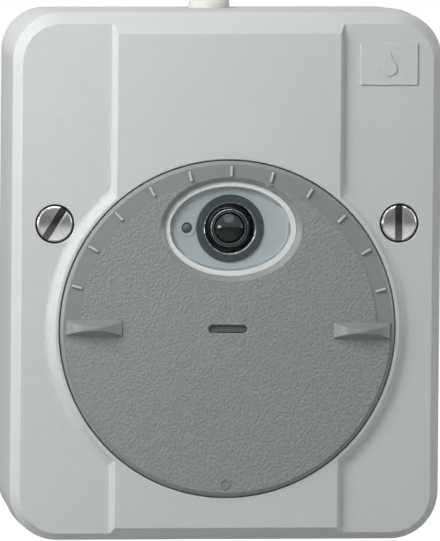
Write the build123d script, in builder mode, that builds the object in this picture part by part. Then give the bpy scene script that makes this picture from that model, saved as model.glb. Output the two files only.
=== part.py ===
from build123d import *
import os
from math import atan2, cos, hypot, radians, sin, tan

# Twilight switch: a wall box whose front carries a turning dial with the light sensor in it.
# Lengths are millimetres. X points right and Z points up as the switch hangs on its wall.
# The wall is the plane y = 0 and the front faces -Y, so a depth is a distance in front of the wall.

# Box
corner_radius = 9.5
base_depth = 18.0
joint_gap = 0.4
skirt_height = 9.6
bevel_run = 1.8
joint_step = 0.2
base_draft = 0.85
base_wall = 2.25
floor_thickness = 2.2
cover_wall = 3.2
front_wall = 2.4
front_drop = 0.75
outer_edge_radius = 0.4
front_edge_radius = 0.3
pocket_edge_radius = 0.25
recess_edge_radius = 0.15
plate_edge_radius = 0.12

# Raised centre band and the plate at the upper right
band_rise = 1.5
band_top_width = 44.4
band_side_run = 0.8
band_foot_radius = 0.5
collar_foot_radius = 2.4
foot_fit_share = 0.95
plate_width = 11.4
plate_height = 8.3
plate_rise = 0.35
plate_corner = 0.3
plate_side_distance = 10.75
plate_top_distance = 10.25
drop_radius = 1.5
drop_length = 3.1
drop_rise = 0.22

# Locating lip and gasket
lip_depth = 2.0
lip_thickness = 1.15
lip_clearance = 0.25
lip_root = 1.6
groove_inset = 0.7
groove_width = 1.3
groove_depth = 1.6
gasket_clearance = 0.05

# Cover screws
cover_screw_side_distance = 8.4
cover_screw_above_dial = 20.7
cover_screw_angles = (-32.0, 0.0)
screw_head_radius = 3.5
screw_head_height = 2.2
screw_head_sink = 0.15
screw_shank_radius = 1.95
screw_shank_length = 19.0
screw_slot_width = 1.15
screw_slot_depth = 1.1
screw_edge_chamfer = 0.3
recess_clearance = 0.4
shank_clearance = 0.25
washer_thickness = 0.8
washer_clearance = 0.15
post_wall = 1.2
post_gap = 0.4
boss_radius = 4.6
boss_top_drop = 2.0
boss_web_thickness = 3.0
insert_radius = 2.9
insert_length = 9.0
insert_clearance = 0.1
insert_hole_extra = 1.5

# Wall fixing holes
wall_hole_radius = 2.25
wall_hole_side_distance = 8.5
wall_hole_end_distance = 8.75
wall_pad_radius = 4.6
wall_pad_rise = 1.0

# Cable entries in the top and bottom walls
entry_x = -1.45
entry_floor_gap = 1.2
entry_lip_gap = 0.2
seal_flange_width = 1.4
seal_flange_thickness = 1.2
seal_neck_sink = 0.35
seal_shoulder_width = 0.85
seal_stub_taper = 0.2
seal_stub_rise = 1.8
seal_low_rise = 0.6
seal_edge_radius = 0.4
seal_stub_wall = 1.15
seal_skin = 0.9

# Dial
dial_rest_turn = 0.75
dial_side_margin = 9.35
dial_top_margin = 29.2
dial_low_margin = 8.7
dial_gap = 0.2
dial_stand = 0.7
dial_edge_chamfer = 0.6
dial_edge_radius = 0.25
dial_face_thickness = 2.0
dial_skirt_thickness = 1.6
dial_floor_gap = 0.3
rim_band_width = 3.7
face_step = 0.12
collar_top_width = 0.75
collar_base_width = 1.6

# Dial scale and mark
tick_count = 11
tick_range = 150.0
tick_line_gap = 0.7
tick_length = 2.0
tick_width = 0.45
tick_rise = 0.5
tick_edge_radius = 0.1
mark_line_gap = 0.05
mark_radius = 1.0
mark_width = 0.3
mark_rise = 0.2

# Dial grips
grip_rim_gap = 1.1
grip_length = 11.1
grip_width = 3.3
grip_top_width = 0.75
grip_height = 2.3
grip_end_height = 0.35
grip_edge_radius = 0.12

# Pocket that holds the dial
pocket_depth = 9.3
pocket_wall = 1.7
pocket_floor_thickness = 2.0
hub_radius = 6.5
hub_length = 2.2

# Spindle
spindle_radius = 4.0
spindle_clearance = 0.05
spindle_flange_radius = 6.0
spindle_flange_gap = 0.1
spindle_flange_thickness = 1.6
spindle_head_radius = 5.0
spindle_head_clearance = 0.05
drive_boss_wall = 1.8
tang_length = 7.5
tang_thickness = 1.3
tang_sink = 0.8
drive_slot_length = 7.7
drive_slot_width = 1.56
drive_slot_chamfer = 0.18
seal_ring_radius = 0.55
seal_ring_sink = 0.02
seal_ring_depth_share = 0.5
clip_thickness = 0.6
clip_radius = 5.3
clip_groove_radius = 3.2
clip_gap = 0.1
clip_mouth_width = 4.6
spindle_tail_length = 3.6
socket_clearance = 0.05
socket_depth = 3.2
socket_end_gap = 0.2

# Window in the dial
window_boss_gap = 2.5
window_rim_gap = 3.05
window_shift = 0.25
window_chamfer = 1.0
window_chamfer_drop = 0.8
bezel_width = 1.05
bezel_clearance = 0.05
bezel_rise = 0.75
pane_thickness = 0.6

# Sensor tray behind the window
field_inset_x = 2.5
field_inset_y = 2.4
field_hood_gap = 1.35
field_boss_gap = 1.35
tray_overlap = 1.6
tray_foot_inset = 0.15
field_drop = 0.55
tray_wall = 1.1
tray_floor = 1.1
hood_width = 1.7
hood_barrel_gap = 1.25
hood_rise = 0.4
hood_chamfer = 0.3
hood_spigot_width = 0.6
barrel_wall = 0.4
barrel_seat_width = 0.55
barrel_lip_chamfer = 0.12
barrel_flange_clearance = 0.15
barrel_flange_thickness = 0.8
barrel_drop = 0.45
lens_drop = 0.6
lens_clearance = 0.05
lens_base_thickness = 1.1
lens_dome_radius = 3.12
lens_dome_height = 1.05
lens_ledge_width = 0.18
led_hood_gap = 0.15
led_radius = 1.0
led_boss_radius = 1.7
led_boss_rise = 0.15
led_clearance = 0.08
led_stand = 0.35
led_dome_height = 0.5

# Sensor board and its screws
sensor_board_end_width = 2.2
sensor_board_extra_height = 0.1
sensor_board_thickness = 1.2
sensor_board_skirt_gap = 0.9
sensor_board_floor_gap = 1.7
photo_sensor_width = 4.0
photo_sensor_height = 3.5
photo_sensor_thickness = 1.4
tray_screw_window_gap = 3.2
tray_screw_radius = 1.0
tray_screw_head_radius = 1.9
tray_screw_head_height = 1.1
tray_screw_length = 4.2
tray_boss_radius = 2.1
tray_screw_clearance = 0.1

# Main board
board_side_gap = 0.45
board_end_gap = 6.95
board_corner = 2.0
board_thickness = 1.6
board_screw_inset = 4.0
board_screw_radius = 1.1
board_screw_tip_gap = 0.4
board_screw_head_radius = 2.6
board_screw_head_height = 1.5
board_screw_slot_width = 0.8
board_screw_slot_depth = 0.7
board_hole_clearance = 0.4
standoff_radius = 3.0
pilot_clearance = 0.05

# Terminal block
pole_count = 4
pole_pitch = 7.6
block_height = 12.0
block_rise = 11.4
block_end_distance = 3.0
block_edge = 0.6
chamber_width = 5.4
chamber_height = 8.4
chamber_floor = 1.0
chamber_rise = 6.8
clamp_clearance = 0.1
clamp_wall = 0.7
clamp_screw_radius = 1.3
clamp_screw_head_radius = 2.1
clamp_screw_head_height = 1.8
clamp_screw_slot_width = 0.7
clamp_screw_slot_depth = 0.9
clamp_screw_reach = 3.2
clamp_hole_clearance = 0.15
access_clearance = 0.2

# Parts on the main board: place, then sizes across, up and forward
relay_screw_gap, relay_cup_gap = 0.9, 0.5
relay_width, relay_height, relay_rise = 29.0, 12.7, 15.7
relay_edge = 0.8
film_relay_gap, film_cup_gap = 0.35, 1.65
film_width, film_height, film_rise = 17.5, 8.0, 14.0
film_edge = 0.7
smoothing_x, smoothing_z = -20.0, 6.0
smoothing_radius, smoothing_rise = 4.0, 11.5
smoothing_groove = 0.35
smoothing_groove_share = 0.12
absorber_x, absorber_z = -21.0, 18.5
absorber_radius, absorber_thickness = 4.6, 3.6
absorber_leg_radius, absorber_leg_length, absorber_leg_pitch = 0.35, 1.4, 5.0
fuse_x, fuse_z = 20.5, -13.0
fuse_radius, fuse_rise = 4.2, 7.6
rectifier_x, rectifier_z = -20.0, -9.0
rectifier_width, rectifier_height, rectifier_rise = 8.5, 6.5, 3.2
rectifier_notch = 1.0
chip_x, chip_z = 19.0, 7.0
chip_width, chip_height, chip_rise = 9.8, 6.4, 3.3
chip_stand = 0.5
chip_notch_radius = 0.8
chip_leg_pitch, chip_leg_width, chip_leg_thickness = 2.54, 0.6, 0.3
chip_leg_count = 4
resistor_x, resistor_z = 15.5, 16.4
resistor_pitch = 3.4
resistor_count = 4
resistor_radius, resistor_length = 1.15, 6.3
resistor_lead_radius, resistor_lead_length = 0.3, 1.2

# Setting potentiometer on the dial axis
pot_radius = 5.2
pot_rise = 5.4
pot_wall = 0.8
pot_shaft_radius = 1.6
pot_wiper_radius = 3.9
pot_wiper_thickness = 1.0
pot_clearance = 0.05
pot_wiper_gap = 0.6
pot_spindle_gap = 0.5

# How far a cutting shape runs past what it cuts
overrun = 1.0
# How close to a plane an edge lies when it is picked for rounding
pick_band = 0.01

# The sensor group from the lens outwards, then the window, the dial and the box round it
barrel_seat_radius = lens_dome_radius + lens_ledge_width + lens_clearance
barrel_bore_radius = barrel_seat_radius - barrel_seat_width
barrel_radius = barrel_seat_radius + barrel_wall
hood_bore_radius = barrel_radius + hood_barrel_gap
barrel_flange_radius = hood_bore_radius - barrel_flange_clearance
hood_spigot_radius = hood_bore_radius + hood_spigot_width
hood_radius = hood_bore_radius + hood_width
led_distance = hood_radius + led_hood_gap + led_boss_radius
field_width = 2 * (led_distance + led_boss_radius + field_boss_gap)
field_height = 2 * (hood_radius + field_hood_gap)
window_width = field_width + 2 * field_inset_x
window_height = field_height + 2 * field_inset_y
drive_boss_bore = spindle_head_radius + spindle_head_clearance
drive_boss_radius = drive_boss_bore + drive_boss_wall
window_distance = drive_boss_radius + window_boss_gap + window_height / 2
dial_radius = window_distance + window_height / 2 + window_rim_gap
line_radius = dial_radius - rim_band_width
lower_face_radius = dial_radius - dial_edge_chamfer - dial_edge_radius
tick_inner_radius = line_radius + tick_line_gap
mark_distance = line_radius + mark_line_gap + mark_radius
grip_inner_radius = dial_radius - grip_rim_gap - grip_length
sensor_board_reach = dial_radius - dial_skirt_thickness - sensor_board_skirt_gap
tray_screw_x = window_width / 2 + tray_screw_window_gap
sensor_board_width = 2 * (tray_screw_x + sensor_board_end_width)
sensor_board_height = window_height + sensor_board_extra_height
pocket_radius = dial_radius + dial_gap
cover_width = 2 * (dial_radius + dial_side_margin)
cover_height = 2 * dial_radius + dial_top_margin + dial_low_margin
dial_drop = (dial_top_margin - dial_low_margin) / 2
plate_x = cover_width / 2 - plate_side_distance
plate_z = cover_height / 2 - plate_top_distance
cover_screw_x = cover_width / 2 - cover_screw_side_distance
cover_screw_z = cover_screw_above_dial - dial_drop
wall_hole_spacing_x = cover_width - 2 * wall_hole_side_distance
wall_hole_spacing_z = cover_height - 2 * wall_hole_end_distance

# Depths that follow
cover_back = base_depth + joint_gap
skirt_front = cover_back + skirt_height
panel_depth = skirt_front + bevel_run
band_depth = panel_depth + band_rise
dial_face_depth = band_depth + dial_stand
dial_under_depth = dial_face_depth - dial_face_thickness
rim_band_depth = dial_face_depth - face_step
pocket_floor_depth = band_depth - pocket_depth
pocket_back_depth = pocket_floor_depth - pocket_floor_thickness
cover_inside_depth = panel_depth - front_wall
entry_room = cover_back - lip_depth - floor_thickness - entry_floor_gap - entry_lip_gap
entry_depth = floor_thickness + entry_floor_gap + entry_room / 2
recess_floor_depth = panel_depth - screw_head_sink - screw_head_height - washer_thickness
boss_top_depth = base_depth - boss_top_drop
post_back_depth = boss_top_depth + post_gap
hub_back = pocket_back_depth - hub_length
clip_front = hub_back - clip_gap
clip_back = clip_front - clip_thickness
spindle_back = clip_back - spindle_tail_length
pot_front = spindle_back - pot_spindle_gap
board_front = pot_front - pot_rise
board_back = board_front - board_thickness
board_screw_length = board_front - floor_thickness - board_screw_tip_gap

# Radii and outlines that follow
front_run = bevel_run + band_rise
band_base_width = band_top_width + 2 * band_side_run
seal_flange_radius = entry_room / 2
entry_radius = seal_flange_radius - seal_flange_width
seal_stub_radius = entry_radius - seal_shoulder_width
seal_top_radius = seal_stub_radius - seal_stub_taper
seal_bore_radius = seal_stub_radius - seal_stub_wall
recess_radius = screw_head_radius + recess_clearance
post_radius = recess_radius + post_wall
rim_width = cover_width - 2 * joint_step
rim_height = cover_height - 2 * joint_step
rim_corner = corner_radius - joint_step
back_width = rim_width - 2 * base_draft
back_height = rim_height - 2 * base_draft
back_corner = rim_corner - base_draft
base_cavity_width = back_width - 2 * base_wall
base_cavity_height = back_height - 2 * base_wall
base_cavity_corner = back_corner - base_wall
lip_width = base_cavity_width - 2 * lip_clearance
lip_height = base_cavity_height - 2 * lip_clearance
lip_corner = base_cavity_corner - lip_clearance
board_width = 2 * (cover_screw_x - boss_radius - board_side_gap)
board_height = base_cavity_height - 2 * board_end_gap
board_screw_x = board_width / 2 - board_screw_inset
board_screw_z = board_height / 2 - board_screw_inset
cup_top_z = pocket_radius + pocket_wall - dial_drop
relay_x = relay_width / 2 + board_screw_head_radius + relay_screw_gap - board_screw_x
relay_z = cup_top_z + relay_cup_gap + relay_height / 2
film_x = relay_x + relay_width / 2 + film_relay_gap + film_width / 2
film_z = cup_top_z + film_cup_gap + film_height / 2
block_z = block_end_distance + block_height / 2 - board_height / 2
window_opening_x = window_width / 2 - window_chamfer
window_opening_y = window_height / 2 - window_chamfer
cover_screw_spots = [(-cover_screw_x, cover_screw_z), (cover_screw_x, cover_screw_z)]
wall_hole_spots = [
    (side * wall_hole_spacing_x / 2, end * wall_hole_spacing_z / 2) for side in (-1, 1) for end in (-1, 1)
]
board_screw_spots = [(side * board_screw_x, end * board_screw_z) for side in (-1, 1) for end in (-1, 1)]
tray_screw_spots = [(window_shift + side * tray_screw_x, window_distance) for side in (-1, 1)]
pole_spots = [((pole - (pole_count - 1) / 2) * pole_pitch, block_z) for pole in range(pole_count)]


def front_plane(depth):
    """The plane at this depth that faces the viewer, centred on the box."""
    return Plane.XZ.offset(depth)


def dial_plane(depth):
    """The plane at this depth that faces the viewer, centred on the dial and turned with it."""
    turn = radians(dial_rest_turn)
    return Plane(origin=(0, -depth, -dial_drop), x_dir=(cos(turn), 0, -sin(turn)), z_dir=(0, -1, 0))


def side_plane(x, z):
    """A section through the forward line at x and z, with distance from that line across and depth up."""
    return Plane(origin=(x, 0, z), x_dir=(1, 0, 0), z_dir=(0, 0, -1))


def forward_axis(x, z):
    """The line at x and z that runs straight out of the wall."""
    return Axis((x, 0, z), (0, -1, 0))


def turned_face(points, x, z):
    """A closed section of (radius, depth) points, ready to be spun about the forward line at x and z."""
    with BuildSketch(side_plane(x, z)) as section:
        with BuildLine():
            Polyline(*points, close=True)
        make_face()
    return section.sketch


def slope_room(run, rise):
    """How large the fillets at the foot and at the top of a slope can be, added together."""
    return hypot(run, rise) / tan(atan2(rise, run) / 2)


def save(part, label):
    """Label a finished piece and write it."""
    part.label = label
    export_step(part, f"parts/{label}.step")


os.makedirs("parts", exist_ok=True)


# Base box: the drafted tub that is screwed to the wall
with BuildPart() as base_box:
    with BuildSketch(front_plane(0)):
        RectangleRounded(back_width, back_height, back_corner)
    with BuildSketch(front_plane(base_depth)):
        RectangleRounded(rim_width, rim_height, rim_corner)
    loft()
    with BuildSketch(front_plane(floor_thickness)):
        RectangleRounded(base_cavity_width, base_cavity_height, base_cavity_corner)
    extrude(amount=base_depth, mode=Mode.SUBTRACT)
    # Gasket groove in the rim
    with BuildSketch(front_plane(base_depth)):
        RectangleRounded(
            rim_width - 2 * groove_inset, rim_height - 2 * groove_inset, rim_corner - groove_inset
        )
        groove_inner_inset = groove_inset + groove_width
        RectangleRounded(
            rim_width - 2 * groove_inner_inset,
            rim_height - 2 * groove_inner_inset,
            rim_corner - groove_inner_inset,
            mode=Mode.SUBTRACT,
        )
    extrude(amount=-groove_depth, mode=Mode.SUBTRACT)
    # Bosses for the cover screws, each tied to the side wall by a web
    with BuildSketch(front_plane(floor_thickness)):
        for x, z in cover_screw_spots:
            with Locations((x, z)):
                Circle(boss_radius)
            web_reach = base_cavity_width / 2 + base_wall / 2 - abs(x)
            with Locations((x + web_reach / 2 * (1 if x > 0 else -1), z)):
                Rectangle(web_reach, boss_web_thickness)
    extrude(amount=boss_top_depth - floor_thickness)
    with BuildSketch(front_plane(boss_top_depth)):
        with Locations(*cover_screw_spots):
            Circle(insert_radius)
    extrude(amount=-(insert_length + insert_hole_extra), mode=Mode.SUBTRACT)
    # Pads round the wall fixing holes
    with BuildSketch(front_plane(floor_thickness)):
        with Locations(*wall_hole_spots):
            Circle(wall_pad_radius)
    extrude(amount=wall_pad_rise)
    with BuildSketch(front_plane(0)):
        with Locations(*wall_hole_spots):
            Circle(wall_hole_radius)
    extrude(amount=floor_thickness + wall_pad_rise, mode=Mode.SUBTRACT)
    # Standoffs under the main board
    with BuildSketch(front_plane(floor_thickness)):
        with Locations(*board_screw_spots):
            Circle(standoff_radius)
    extrude(amount=board_back - floor_thickness)
    with BuildSketch(front_plane(board_back)):
        with Locations(*board_screw_spots):
            Circle(board_screw_radius + pilot_clearance)
    extrude(amount=-(board_screw_length - board_thickness + overrun / 2), mode=Mode.SUBTRACT)
    # Cable entries through the bottom and top walls
    with BuildSketch(Plane.XY.offset(-cover_height / 2 - overrun)):
        with Locations((entry_x, -entry_depth)):
            Circle(entry_radius)
    extrude(amount=cover_height + 2 * overrun, mode=Mode.SUBTRACT)
save(base_box.part, "base_box")


# Cover gasket: it fills the groove and shows as the thin line between base and cover
with BuildPart() as cover_gasket:
    with BuildSketch(front_plane(base_depth - groove_depth)):
        gasket_outer_inset = groove_inset + gasket_clearance
        gasket_inner_inset = groove_inset + groove_width - gasket_clearance
        RectangleRounded(
            rim_width - 2 * gasket_outer_inset,
            rim_height - 2 * gasket_outer_inset,
            rim_corner - gasket_outer_inset,
        )
        RectangleRounded(
            rim_width - 2 * gasket_inner_inset,
            rim_height - 2 * gasket_inner_inset,
            rim_corner - gasket_inner_inset,
            mode=Mode.SUBTRACT,
        )
    extrude(amount=groove_depth + joint_gap)
save(cover_gasket.part, "cover_gasket")


# Front cover: a bevelled shell with the raised band, the dial collar and the pocket behind it
with BuildPart() as front_cover:
    with BuildSketch(front_plane(cover_back)):
        RectangleRounded(cover_width, cover_height, corner_radius)
    extrude(amount=skirt_height)
    # The bevel is wider at the top than at the bottom, so the front sits a little low
    with BuildSketch(front_plane(skirt_front)):
        RectangleRounded(cover_width, cover_height, corner_radius)
    with BuildSketch(front_plane(band_depth)):
        with Locations((0, -front_drop)):
            RectangleRounded(
                cover_width - 2 * front_run, cover_height - 2 * front_run, corner_radius - front_run
            )
    loft(ruled=True)
    # The side panels lie lower than the band
    with BuildSketch(Plane.XY.offset(-cover_height)):
        with BuildLine():
            Polyline(
                (band_base_width / 2, -panel_depth),
                (band_top_width / 2, -band_depth),
                (band_top_width / 2, -band_depth - overrun),
                (cover_width, -band_depth - overrun),
                (cover_width, -panel_depth),
                close=True,
            )
        make_face()
        mirror(about=Plane.YZ)
    extrude(amount=2 * cover_height, mode=Mode.SUBTRACT)
    # The collar round the dial stands level with the band
    with BuildSketch(front_plane(panel_depth - front_wall / 2)):
        with Locations((0, -dial_drop)):
            Circle(pocket_radius + collar_base_width)
    extrude(amount=front_wall / 2)
    with BuildSketch(front_plane(panel_depth)):
        with Locations((0, -dial_drop)):
            Circle(pocket_radius + collar_base_width)
    with BuildSketch(front_plane(band_depth)):
        with Locations((0, -dial_drop)):
            Circle(pocket_radius + collar_top_width)
    loft()
    foot_edges = edges().filter_by_position(Axis.Y, -panel_depth - pick_band, -panel_depth + pick_band)
    collar_feet = foot_edges.filter_by(
        lambda edge: edge.geom_type == GeomType.CIRCLE
        and abs(edge.radius - pocket_radius - collar_base_width) < pick_band
    )
    collar_room = foot_fit_share * slope_room(collar_base_width - collar_top_width, band_rise)
    fillet(collar_feet, radius=min(collar_foot_radius, collar_room - front_edge_radius))
    foot_edges = edges().filter_by_position(Axis.Y, -panel_depth - pick_band, -panel_depth + pick_band)
    band_feet = foot_edges.filter_by(
        lambda edge: abs(abs(edge.center().X) - band_base_width / 2) < pick_band
        and abs(edge.tangent_at(0).Z) > 1 - pick_band
    )
    band_room = foot_fit_share * slope_room(band_side_run, band_rise)
    fillet(band_feet, radius=min(band_foot_radius, band_room - front_edge_radius))
    # Rounded edges where the panels, the band and the collar end, and at the foot of the bevel
    bevel_faces = faces().filter_by(lambda face: abs(face.bounding_box().max.Y + skirt_front) < pick_band)
    front_edges = bevel_faces.edges().filter_by(
        lambda edge: edge.bounding_box().max.Y < -panel_depth + pick_band
    )
    band_edges = edges().filter_by_position(Axis.Y, -band_depth - pick_band, -band_depth + pick_band)
    fillet(front_edges + band_edges.filter_by(lambda edge: edge not in front_edges), radius=front_edge_radius)
    outer_edges = edges().filter_by_position(Axis.Y, -skirt_front - pick_band, -skirt_front + pick_band)
    fillet(outer_edges, radius=outer_edge_radius)
    # Hollow inside, with a locating lip that enters the base
    with BuildSketch(front_plane(cover_back - lip_depth)):
        RectangleRounded(lip_width, lip_height, lip_corner)
    extrude(amount=lip_depth + lip_root)
    with BuildSketch(front_plane(cover_back - lip_depth)):
        RectangleRounded(
            lip_width - 2 * lip_thickness, lip_height - 2 * lip_thickness, lip_corner - lip_thickness
        )
    extrude(amount=lip_depth + lip_root, mode=Mode.SUBTRACT)
    with BuildSketch(front_plane(cover_back + lip_root)):
        RectangleRounded(
            cover_width - 2 * cover_wall, cover_height - 2 * cover_wall, corner_radius - cover_wall
        )
    extrude(amount=cover_inside_depth - cover_back - lip_root, mode=Mode.SUBTRACT)
    # Cup of the dial pocket and the hub that carries the spindle
    with BuildSketch(front_plane(pocket_back_depth)):
        with Locations((0, -dial_drop)):
            Circle(pocket_radius + pocket_wall)
    extrude(amount=cover_inside_depth - pocket_back_depth)
    with BuildSketch(front_plane(pocket_back_depth - hub_length)):
        with Locations((0, -dial_drop)):
            Circle(hub_radius)
    extrude(amount=hub_length)
    # Posts that take the cover screws
    with BuildSketch(front_plane(post_back_depth)):
        with Locations(*cover_screw_spots):
            Circle(post_radius)
    extrude(amount=cover_inside_depth - post_back_depth)
    with BuildSketch(front_plane(cover_back + lip_root)):
        for x, z in cover_screw_spots:
            web_reach = (cover_width - cover_wall) / 2 - abs(x)
            with Locations((x + web_reach / 2 * (1 if x > 0 else -1), z)):
                Rectangle(web_reach, boss_web_thickness)
    extrude(amount=cover_inside_depth - cover_back - lip_root)
    with BuildSketch(front_plane(pocket_floor_depth)):
        with Locations((0, -dial_drop)):
            Circle(pocket_radius)
    extrude(amount=pocket_depth + overrun, mode=Mode.SUBTRACT)
    mouth_edges = edges().filter_by_position(Axis.Y, -band_depth - pick_band, -band_depth + pick_band)
    mouth_edges = mouth_edges.filter_by(
        lambda edge: edge.geom_type == GeomType.CIRCLE and abs(edge.radius - pocket_radius) < pick_band
    )
    fillet(mouth_edges, radius=pocket_edge_radius)
    with BuildSketch(front_plane(pocket_back_depth - hub_length)):
        with Locations((0, -dial_drop)):
            Circle(spindle_radius + spindle_clearance)
    extrude(amount=hub_length + pocket_floor_thickness, mode=Mode.SUBTRACT)
    with BuildSketch(front_plane(recess_floor_depth)):
        with Locations(*cover_screw_spots):
            Circle(recess_radius)
    extrude(amount=panel_depth - recess_floor_depth + overrun, mode=Mode.SUBTRACT)
    recess_walls = faces().filter_by(
        lambda face: face.geom_type == GeomType.CYLINDER and face.radius
        and abs(face.radius - recess_radius) < pick_band
    )
    recess_edges = recess_walls.edges().filter_by(
        lambda edge: edge.bounding_box().max.Y < -panel_depth + pick_band
    )
    fillet(recess_edges, radius=recess_edge_radius)
    with BuildSketch(front_plane(post_back_depth)):
        with Locations(*cover_screw_spots):
            Circle(screw_shank_radius + shank_clearance)
    extrude(amount=recess_floor_depth - post_back_depth, mode=Mode.SUBTRACT)
    # Raised plate at the upper right with a plain water drop on it
    with BuildSketch(front_plane(panel_depth)):
        with Locations((plate_x, plate_z)):
            RectangleRounded(plate_width, plate_height, plate_corner)
    extrude(amount=plate_rise)
    plate_depth = panel_depth + plate_rise
    plate_edges = edges().filter_by_position(Axis.Y, -plate_depth - pick_band, -plate_depth + pick_band)
    fillet(plate_edges, radius=plate_edge_radius)
    with BuildSketch(front_plane(plate_depth)):
        with BuildLine():
            drop_base_z = plate_z - (drop_length - drop_radius) / 2
            tip = (plate_x, drop_base_z + drop_length)
            round_side = CenterArc((plate_x, drop_base_z), drop_radius, -210, 240)
            Line(round_side @ 1, tip)
            Line(tip, round_side @ 0)
        make_face()
    extrude(amount=drop_rise)
save(front_cover.part, "front_cover")


# Cover screws: slotted cheese heads, the left one left at a slant
with BuildPart() as cover_screws:
    head_back = recess_floor_depth + washer_thickness
    head_front = head_back + screw_head_height
    for (x, z), angle in zip(cover_screw_spots, cover_screw_angles):
        with BuildSketch(front_plane(head_back)):
            with Locations((x, z)):
                Circle(screw_head_radius)
        extrude(amount=screw_head_height)
        with BuildSketch(front_plane(head_back)):
            with Locations((x, z)):
                Circle(screw_shank_radius)
        extrude(amount=-screw_shank_length)
        with BuildSketch(front_plane(head_front)):
            with Locations(Location((x, z), angle)):
                Rectangle(screw_slot_width, 3 * screw_head_radius)
        extrude(amount=-screw_slot_depth, mode=Mode.SUBTRACT)
    rim_edges = edges().filter_by_position(Axis.Y, -head_front - pick_band, -head_front + pick_band)
    chamfer(rim_edges, length=screw_edge_chamfer)
save(cover_screws.part, "cover_screws")


# Seal washers under the screw heads
with BuildPart() as screw_seals:
    with BuildSketch(front_plane(recess_floor_depth)):
        with Locations(*cover_screw_spots):
            Circle(recess_radius - washer_clearance)
            Circle(screw_shank_radius + washer_clearance, mode=Mode.SUBTRACT)
    extrude(amount=washer_thickness)
save(screw_seals.part, "screw_seals")


# Brass inserts that the cover screws bite into
with BuildPart() as threaded_inserts:
    with BuildSketch(front_plane(boss_top_depth)):
        with Locations(*cover_screw_spots):
            Circle(insert_radius)
            Circle(screw_shank_radius + insert_clearance, mode=Mode.SUBTRACT)
    extrude(amount=-insert_length)
save(threaded_inserts.part, "threaded_inserts")


def cable_seal(end, stub_rise, stub_base_radius, stub_tip_radius):
    """A closed rubber plug for one cable entry: end is 1 for the top wall and -1 for the bottom wall."""
    inside = base_cavity_height / 2
    outside = back_height / 2 + base_draft * entry_depth / base_depth
    neck_end = outside - seal_neck_sink
    tip = outside + stub_rise
    with BuildSketch(Plane(origin=(entry_x, -entry_depth, 0), x_dir=(1, 0, 0), z_dir=(0, -1, 0))) as section:
        with BuildLine():
            Polyline(
                (0, end * (tip - seal_skin)),
                (seal_bore_radius, end * (tip - seal_skin)),
                (seal_bore_radius, end * (inside - seal_flange_thickness)),
                (seal_flange_radius, end * (inside - seal_flange_thickness)),
                (seal_flange_radius, end * inside),
                (entry_radius, end * inside),
                (entry_radius, end * neck_end),
                (stub_base_radius, end * neck_end),
                (stub_tip_radius, end * tip),
                (0, end * tip),
                close=True,
            )
        make_face()
    with BuildPart() as plug:
        revolve(section.sketch, axis=Axis((entry_x, -entry_depth, 0), (0, 0, 1)))
        tip_edges = edges().filter_by_position(Axis.Z, end * tip - pick_band, end * tip + pick_band)
        fillet(tip_edges, radius=min(seal_edge_radius, stub_rise / 2))
    return plug.part


save(cable_seal(1, seal_stub_rise, seal_stub_radius, seal_top_radius), "top_cable_seal")
save(cable_seal(-1, seal_low_rise, seal_stub_radius, seal_top_radius), "bottom_cable_seal")


# Main board
with BuildPart() as main_board:
    with BuildSketch(front_plane(board_back)):
        RectangleRounded(board_width, board_height, board_corner)
        with Locations(*board_screw_spots):
            Circle(board_screw_radius + board_hole_clearance, mode=Mode.SUBTRACT)
    extrude(amount=board_thickness)
save(main_board.part, "main_board")


def slotted_screw(x, z, seat, head_radius, head_height, shank_radius, length, slot_width, slot_depth):
    """A screw driven towards the wall, with its head resting on the seat depth."""
    with BuildPart() as screw:
        with BuildSketch(front_plane(seat)):
            with Locations((x, z)):
                Circle(head_radius)
        extrude(amount=head_height)
        with BuildSketch(front_plane(seat)):
            with Locations((x, z)):
                Circle(shank_radius)
        extrude(amount=-length)
        with BuildSketch(front_plane(seat + head_height)):
            with Locations((x, z)):
                Rectangle(slot_width, 3 * head_radius)
        extrude(amount=-slot_depth, mode=Mode.SUBTRACT)
    return screw.part


# Screws of the main board
with BuildPart() as board_screws:
    for x, z in board_screw_spots:
        add(
            slotted_screw(
                x,
                z,
                board_front,
                board_screw_head_radius,
                board_screw_head_height,
                board_screw_radius,
                board_screw_length,
                board_screw_slot_width,
                board_screw_slot_depth,
            )
        )
save(board_screws.part, "board_screws")


# Terminal block: one chamber for each pole, open downwards for the wire and forwards for the screw
chamber_back = board_front + chamber_floor
chamber_front = chamber_back + chamber_rise
block_bottom = block_z - block_height / 2
access_radius = clamp_screw_head_radius + access_clearance
chamber_centre_z = block_bottom + chamber_height / 2
with BuildPart() as terminal_block:
    with BuildSketch(front_plane(board_front)):
        with Locations((0, block_z)):
            Rectangle(pole_count * pole_pitch, block_height)
    extrude(amount=block_rise)
    chamfer(faces().sort_by(Axis.Y)[0].edges(), length=block_edge)
    with BuildSketch(front_plane(chamber_back)):
        for x, z in pole_spots:
            with Locations((x, chamber_centre_z - overrun / 2)):
                Rectangle(chamber_width, chamber_height + overrun)
    extrude(amount=chamber_rise, mode=Mode.SUBTRACT)
    with BuildSketch(front_plane(chamber_front)):
        for x, z in pole_spots:
            with Locations((x, chamber_centre_z)):
                Circle(access_radius)
    extrude(amount=block_rise, mode=Mode.SUBTRACT)
save(terminal_block.part, "terminal_block")


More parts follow.
